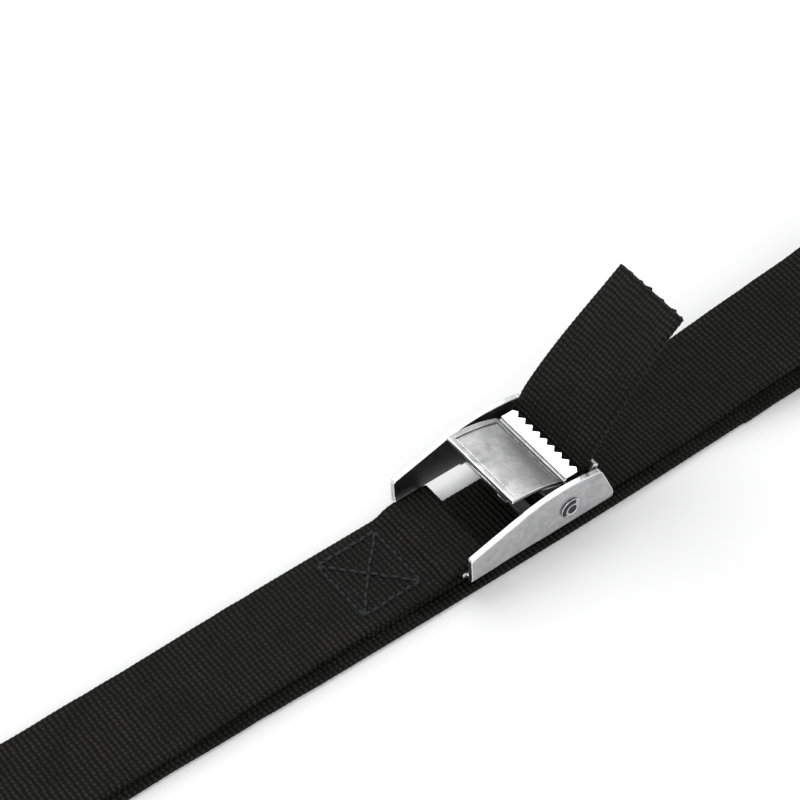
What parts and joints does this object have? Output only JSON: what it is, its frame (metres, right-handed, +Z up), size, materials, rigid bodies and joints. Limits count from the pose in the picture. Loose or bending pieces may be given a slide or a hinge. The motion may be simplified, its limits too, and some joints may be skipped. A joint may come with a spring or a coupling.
{
  "type": "luggage strap",
  "caption": "Flat webbing loop strap with a sewn end on a pressed cam buckle, a toothed thumb lever on a rivet, and a free tail.",
  "frame": {"origin": "on the underside of the lower ply of webbing, below the middle of the buckle", "axes": "+X along the strap from the sewn end to the cam end of the buckle, +Y across the strap, +Z up"},
  "size_m": [0.4614, 0.0318, 0.0442],
  "materials": {
    "frame_steel": "satin zinc plate",
    "lever_zinc": "bright nickel plate",
    "rivet_metal": "satin",
    "spring_wire": "drawn wire",
    "webbing_black": "ribbed black webbing",
    "thread": "black sewing thread"
  },
  "bodies": {
    "strap_and_frame": {"buckle_frame": "frame_steel", "pivot_rivet": "rivet_metal", "return_spring": "spring_wire", "webbing_sewn_end": "webbing_black", "webbing_loop": "webbing_black", "webbing_arch": "webbing_black", "webbing_cam_run": "webbing_black", "webbing_tail": "webbing_black", "box_stitching": "thread"},
    "lever": {"cam_lever": "lever_zinc"}
  },
  "joints": [
    {"name": "cam_lever_hinge", "type": "hinge", "parent": "strap_and_frame", "child": "lever", "pos_m": [0.0075, 0, 0.00905], "axis": [0, -1, 0], "range_deg": [0, 35], "stiffness_Nm_per_rad": 0.05, "springref_deg": -34.38, "deforming": ["return_spring"]}
  ]
}
